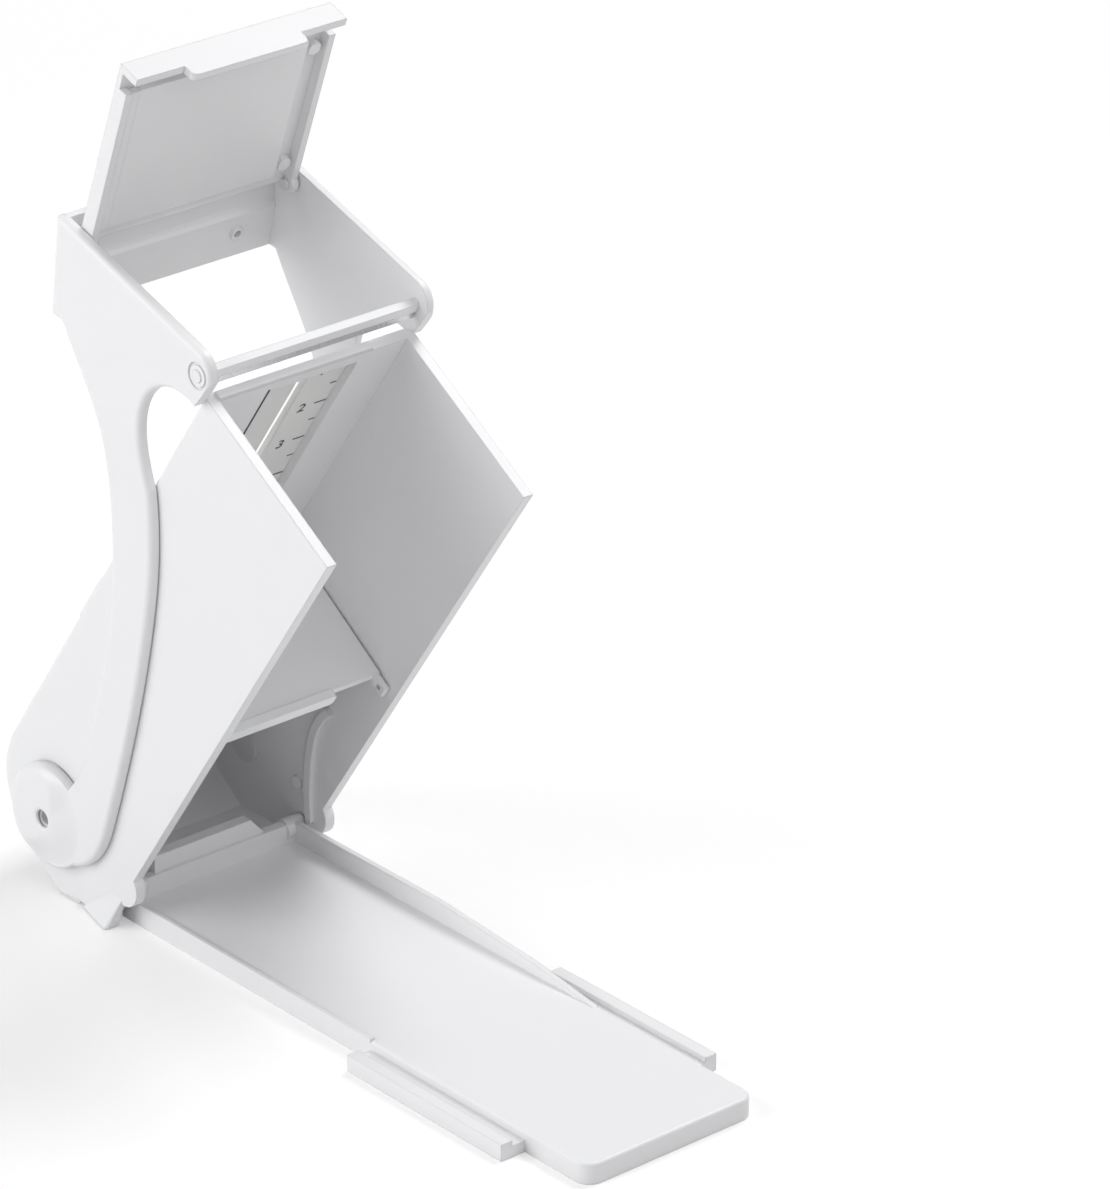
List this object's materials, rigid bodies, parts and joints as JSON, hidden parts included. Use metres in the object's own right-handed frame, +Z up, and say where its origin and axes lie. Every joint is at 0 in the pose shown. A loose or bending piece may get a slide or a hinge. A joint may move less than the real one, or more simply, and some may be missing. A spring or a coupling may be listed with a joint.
{
  "type": "butter cutter dispenser",
  "caption": "Box magazine leaning over its hinged tray, with a slider that feeds the stick and a lever whose ring-shaped head has a blade and a flip-up lid.",
  "frame": {"origin": "on the table under the magazine's foot, at the hinge end of the tray and on the centre line", "axes": "+X along the tray away from the hinge, +Y across to the left arm, +Z up from the table"},
  "size_m": [0.2171, 0.0736, 0.2311],
  "materials": {
    "white_moulding": "satin",
    "white_pin": "satin",
    "scale_white": "matte",
    "steel": "brushed"
  },
  "bodies": {
    "tray": {"door_tray": "white_moulding", "hinge_pin_left": "white_pin", "hinge_pin_right": "white_pin"},
    "magazine": {"magazine_shell": "white_moulding", "scale_panel": "scale_white", "pivot_pin_left": "white_pin", "pivot_pin_right": "white_pin"},
    "lever": {"lever_frame": "white_moulding", "cross_bar": "white_moulding", "cutting_blade": "steel", "hub_cap_left": "white_moulding", "hub_cap_right": "white_moulding"},
    "lid": {"flip_lid": "white_moulding", "lid_pin_left": "white_pin", "lid_pin_right": "white_pin"},
    "slider": {"follower_plate": "white_moulding", "slider_carrier": "white_moulding", "slider_knob": "white_moulding", "knob_screw": "steel", "detent_leaf": "steel"}
  },
  "joints": [
    {"name": "door_hinge", "type": "hinge", "parent": "tray", "child": "magazine", "pos_m": [0.00198, 0, 0.0089], "axis": [0, 1, 0], "range_deg": [0, 55.3]},
    {"name": "lever_pivot", "type": "hinge", "parent": "magazine", "child": "lever", "pos_m": [-0.0198, 0, 0.02295], "axis": [0, 1, 0], "range_deg": [0, 19]},
    {"name": "lid_hinge", "type": "hinge", "parent": "lever", "child": "lid", "pos_m": [-0.00086, 0, 0.18063], "axis": [0, 1, 0], "range_deg": [0, 87.9]},
    {"name": "slider_slide", "type": "slide", "parent": "magazine", "child": "slider", "axis": [0.5693, 0, 0.8221], "range_m": [-0.0235, 0.0804]}
  ]
}
